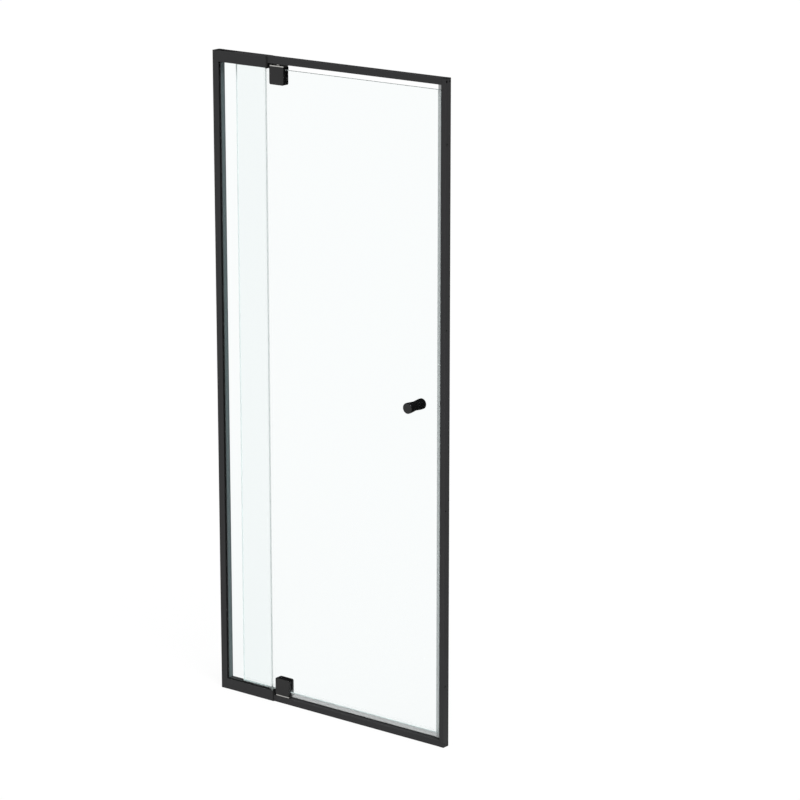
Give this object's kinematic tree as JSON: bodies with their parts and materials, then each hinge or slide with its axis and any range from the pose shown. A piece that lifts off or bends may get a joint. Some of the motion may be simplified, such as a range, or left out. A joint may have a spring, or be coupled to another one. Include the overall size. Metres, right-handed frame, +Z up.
{
  "type": "pivot shower door",
  "caption": "Framed pivot shower door in black with clear glass: a pane swings on inset top and bottom pivot clamps, and a telescoping side panel sets the width.",
  "frame": {"origin": "bottom centre of the bounding box: on the tray, midway between the two walls at the narrowest width, in the middle plane of the door pane", "axes": "+X to the right seen from outside the shower, +Y into the shower, +Z up"},
  "size_m": [0.8, 0.066, 1.85],
  "materials": {
    "black_frame": "satin black powder coat on extruded aluminium",
    "black_cast": "satin black coat on die-cast zinc",
    "black_plastic": "matte moulded ABS",
    "grey_strip": "satin grey PVC",
    "door_glass": "clear toughened glass, polished edges",
    "clear_seal": "clear soft PVC",
    "grey_seal": "translucent grey PVC",
    "gasket": "black EPDM",
    "nylon": "natural nylon",
    "steel": "brushed stainless steel",
    "black_screw": "black oxide steel"
  },
  "bodies": {
    "main_frame": {"strike_jamb": "black_frame", "strike_jamb_cover": "black_frame", "strike_jamb_caps": "black_plastic", "strike_seal": "grey_seal", "rail_corner_screws": "black_screw", "pivot_plate_screws": "black_screw", "top_rail": "black_frame", "top_rail_plug": "black_plastic", "top_pivot_plate": "black_screw", "top_pivot_pin": "steel", "bottom_rail": "black_frame", "bottom_rail_plug": "black_plastic", "bottom_pivot_plate": "black_screw", "bottom_pivot_pin": "steel"},
    "side_panel": {"wall_jamb": "black_frame", "wall_jamb_cover": "grey_strip", "wall_jamb_caps": "black_plastic", "sleeve_corner_screws": "black_screw", "sleeve_lock_screws": "black_screw", "fixed_pane": "door_glass", "fixed_pane_jamb_gasket": "gasket", "fixed_pane_edge_seal": "clear_seal", "top_sleeve": "black_frame", "top_sleeve_cap": "black_plastic", "top_glazing_gasket": "gasket", "bottom_sleeve": "black_frame", "bottom_sleeve_cap": "black_plastic", "bottom_glazing_gasket": "gasket"},
    "door": {"door_pane": "door_glass", "bearing_plate_screws": "steel", "bottom_seal": "grey_seal", "tail_seal": "grey_seal", "knob_front": "black_cast", "knob_back": "black_cast", "knob_stud": "steel", "knob_washers": "gasket", "knob_sleeve": "nylon", "knob_grub_screw": "black_screw", "top_clamp_front": "black_cast", "top_clamp_back": "black_cast", "top_clamp_gaskets": "gasket", "top_clamp_screws": "black_screw", "top_pivot_bush": "nylon", "top_bearing_plate": "steel", "bottom_clamp_front": "black_cast", "bottom_clamp_back": "black_cast", "bottom_clamp_gaskets": "gasket", "bottom_clamp_screws": "black_screw", "bottom_pivot_bush": "nylon", "bottom_bearing_plate": "steel"}
  },
  "joints": [
    {"name": "door_swing", "type": "hinge", "parent": "main_frame", "child": "door", "pos_m": [-0.175, 0, 0.9], "axis": [0, 0, -1], "range_deg": [0, 105]},
    {"name": "width_adjust", "type": "slide", "parent": "main_frame", "child": "side_panel", "axis": [-1, 0, 0], "range_m": [0, 0.08]}
  ]
}
